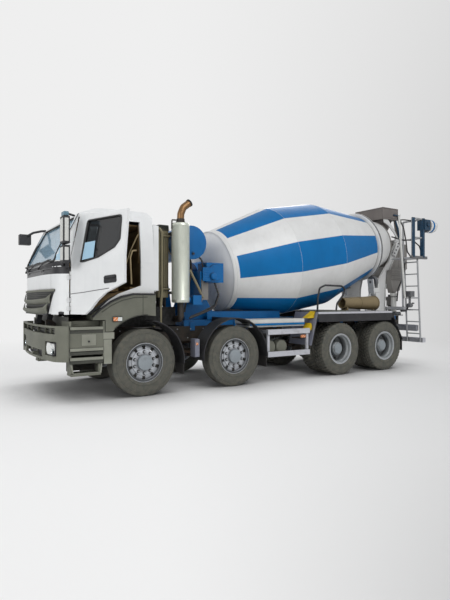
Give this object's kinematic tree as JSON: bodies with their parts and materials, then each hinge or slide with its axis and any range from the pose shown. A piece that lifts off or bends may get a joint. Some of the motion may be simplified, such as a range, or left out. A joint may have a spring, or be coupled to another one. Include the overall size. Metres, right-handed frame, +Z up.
{
  "type": "concrete mixer truck",
  "caption": "Concrete mixer truck with tilting cab, steered front axles, twin rear wheels, and a turning drum with hopper, funnel and swinging chute.",
  "frame": {"origin": "on the ground, on the centre plane, under the middle of the first axle", "axes": "+X forward, +Y to the vehicle's left, +Z up"},
  "size_m": [9.09, 3.5916, 3.78],
  "materials": {
    "tyre": "matt rubber",
    "wheel_grey": "silver wheel paint",
    "frame_dark": "satin chassis paint",
    "axle_iron": "painted casting",
    "engine_iron": "painted casting",
    "mixer_blue": "gloss paint",
    "cab_white": "gloss paint",
    "mixer_white": "gloss paint",
    "grey_paint": "satin paint",
    "khaki": "satin paint",
    "trim": "grained plastic",
    "black_plastic": "grained plastic",
    "glass": "clear",
    "lamp": "clear cover",
    "steel": "worn steel",
    "fabric": "woven cloth",
    "aluminium": "satin"
  },
  "bodies": {
    "chassis": {"air_intake": "khaki", "chassis_frame": "frame_dark", "discharge_funnel": "grey_paint", "drum_gearbox": "mixer_blue", "engine": "engine_iron", "entry_steps": "trim", "exhaust": "grey_paint", "feed_hopper": "grey_paint", "front_axles": "axle_iron", "front_bumper": "trim", "guard_rails": "grey_paint", "ladder": "grey_paint", "lamps": "lamp", "mixer_subframe": "mixer_blue", "mudguards": "black_plastic", "rear_axles": "axle_iron", "rear_pedestal": "mixer_white", "spare_chute": "khaki", "tanks": "aluminium", "water_tank": "mixer_blue"},
    "cab": {"cab_roof": "cab_white", "cab_sides": "cab_white", "cab_front": "cab_white", "cab_floor": "cab_white", "cab_fenders": "trim", "cab_interior": "fabric", "mirrors": "black_plastic", "windscreen": "glass"},
    "flap": {"front_flap": "cab_white"},
    "left_door": {"door_left": "cab_white", "door_left_glass": "glass"},
    "right_door": {"door_right": "cab_white", "door_right_glass": "glass"},
    "drum": {"drum": "mixer_white"},
    "left_roller": {"roller_left": "steel"},
    "right_roller": {"roller_right": "steel"},
    "chute_head": {"chute_head": "grey_paint"},
    "chute": {"chute": "grey_paint"},
    "knuckle_left_1": {"knuckle_left_1": "axle_iron"},
    "wheel_front_left_1": {"tyre_front_left_1": "tyre", "rim_front_left_1": "wheel_grey"},
    "wheel_rear_left_1": {"tyres_rear_left_1": "tyre", "rims_rear_left_1": "wheel_grey"},
    "knuckle_right_1": {"knuckle_right_1": "axle_iron"},
    "wheel_front_right_1": {"tyre_front_right_1": "tyre", "rim_front_right_1": "wheel_grey"},
    "wheel_rear_right_1": {"tyres_rear_right_1": "tyre", "rims_rear_right_1": "wheel_grey"},
    "tie_rod_1": {"tie_rod_1": "axle_iron"},
    "knuckle_left_2": {"knuckle_left_2": "axle_iron"},
    "wheel_front_left_2": {"tyre_front_left_2": "tyre", "rim_front_left_2": "wheel_grey"},
    "wheel_rear_left_2": {"tyres_rear_left_2": "tyre", "rims_rear_left_2": "wheel_grey"},
    "knuckle_right_2": {"knuckle_right_2": "axle_iron"},
    "wheel_front_right_2": {"tyre_front_right_2": "tyre", "rim_front_right_2": "wheel_grey"},
    "wheel_rear_right_2": {"tyres_rear_right_2": "tyre", "rims_rear_right_2": "wheel_grey"},
    "tie_rod_2": {"tie_rod_2": "axle_iron"}
  },
  "joints": [
    {"name": "steer_left_1", "type": "hinge", "parent": "chassis", "child": "knuckle_left_1", "pos_m": [0, 0.835, 0.53], "axis": [0, 0, 1], "range_deg": [-40, 40]},
    {"name": "wheel_front_left_1_spin", "type": "hinge", "parent": "knuckle_left_1", "child": "wheel_front_left_1", "pos_m": [0, 1.03, 0.53], "axis": [0, 1, 0], "continuous": true},
    {"name": "steer_right_1", "type": "hinge", "parent": "chassis", "child": "knuckle_right_1", "pos_m": [0, -0.835, 0.53], "axis": [0, 0, 1], "range_deg": [-40, 40]},
    {"name": "wheel_front_right_1_spin", "type": "hinge", "parent": "knuckle_right_1", "child": "wheel_front_right_1", "pos_m": [0, -1.03, 0.53], "axis": [0, 1, 0], "continuous": true},
    {"name": "tie_rod_1_pivot", "type": "hinge", "parent": "knuckle_left_1", "child": "tie_rod_1", "pos_m": [-0.23, 0.835, 0.4], "axis": [0, 0, 1], "range_deg": [-40, 40]},
    {"name": "steer_left_2", "type": "hinge", "parent": "chassis", "child": "knuckle_left_2", "pos_m": [-1.7, 0.835, 0.53], "axis": [0, 0, 1], "range_deg": [-28, 28]},
    {"name": "wheel_front_left_2_spin", "type": "hinge", "parent": "knuckle_left_2", "child": "wheel_front_left_2", "pos_m": [-1.7, 1.03, 0.53], "axis": [0, 1, 0], "continuous": true},
    {"name": "steer_right_2", "type": "hinge", "parent": "chassis", "child": "knuckle_right_2", "pos_m": [-1.7, -0.835, 0.53], "axis": [0, 0, 1], "range_deg": [-28, 28]},
    {"name": "wheel_front_right_2_spin", "type": "hinge", "parent": "knuckle_right_2", "child": "wheel_front_right_2", "pos_m": [-1.7, -1.03, 0.53], "axis": [0, 1, 0], "continuous": true},
    {"name": "tie_rod_2_pivot", "type": "hinge", "parent": "knuckle_left_2", "child": "tie_rod_2", "pos_m": [-1.93, 0.835, 0.4], "axis": [0, 0, 1], "range_deg": [-28, 28]},
    {"name": "wheel_rear_left_1_spin", "type": "hinge", "parent": "chassis", "child": "wheel_rear_left_1", "pos_m": [-4.25, 0.91, 0.53], "axis": [0, 1, 0], "continuous": true},
    {"name": "wheel_rear_right_1_spin", "type": "hinge", "parent": "chassis", "child": "wheel_rear_right_1", "pos_m": [-4.25, -0.91, 0.53], "axis": [0, 1, 0], "continuous": true},
    {"name": "wheel_rear_left_2_spin", "type": "hinge", "parent": "chassis", "child": "wheel_rear_left_2", "pos_m": [-5.6, 0.91, 0.53], "axis": [0, 1, 0], "continuous": true},
    {"name": "wheel_rear_right_2_spin", "type": "hinge", "parent": "chassis", "child": "wheel_rear_right_2", "pos_m": [-5.6, -0.91, 0.53], "axis": [0, 1, 0], "continuous": true},
    {"name": "drum_spin", "type": "hinge", "parent": "chassis", "child": "drum", "pos_m": [-1.926, 0, 2.085], "axis": [-0.9848, 0, 0.1736], "continuous": true},
    {"name": "roller_left_spin", "type": "hinge", "parent": "chassis", "child": "left_roller", "pos_m": [-6.1404, 0.43174, 1.96769], "axis": [-0.9848, 0, 0.1736], "continuous": true},
    {"name": "roller_right_spin", "type": "hinge", "parent": "chassis", "child": "right_roller", "pos_m": [-6.1404, -0.43174, 1.96769], "axis": [-0.9848, 0, 0.1736], "continuous": true},
    {"name": "cab_tilt", "type": "hinge", "parent": "chassis", "child": "cab", "pos_m": [1.29, 0, 1.16], "axis": [0, 1, 0], "range_deg": [0, 55]},
    {"name": "flap_hinge", "type": "hinge", "parent": "cab", "child": "flap", "pos_m": [1.412, 0, 1.957], "axis": [0, -1, 0], "range_deg": [0, 75]},
    {"name": "door_left_hinge", "type": "hinge", "parent": "cab", "child": "left_door", "pos_m": [1.154, 1.146, 2], "axis": [0, 0, 1], "range_deg": [-14, 66]},
    {"name": "door_right_hinge", "type": "hinge", "parent": "cab", "child": "right_door", "pos_m": [1.154, -1.146, 2], "axis": [0, 0, 1], "range_deg": [0, 80]},
    {"name": "chute_swing", "type": "hinge", "parent": "chassis", "child": "chute_head", "pos_m": [-7.33, 0, 1.5], "axis": [0, 0, -1], "range_deg": [0, 180]},
    {"name": "chute_tilt", "type": "hinge", "parent": "chute_head", "child": "chute", "pos_m": [-7.33, -0.43, 1.7], "axis": [1, 0, 0], "range_deg": [0, 95]}
  ],
  "couplings": [
    {"joint": "steer_right_1", "follows": "steer_left_1", "ratio": 1},
    {"joint": "tie_rod_1_pivot", "follows": "steer_left_1", "ratio": -1},
    {"joint": "steer_left_2", "follows": "steer_left_1", "ratio": 0.7},
    {"joint": "steer_right_2", "follows": "steer_left_1", "ratio": 0.7},
    {"joint": "tie_rod_2_pivot", "follows": "steer_left_1", "ratio": -0.7},
    {"joint": "roller_left_spin", "follows": "drum_spin", "ratio": -6.3077},
    {"joint": "roller_right_spin", "follows": "drum_spin", "ratio": -6.3077}
  ]
}
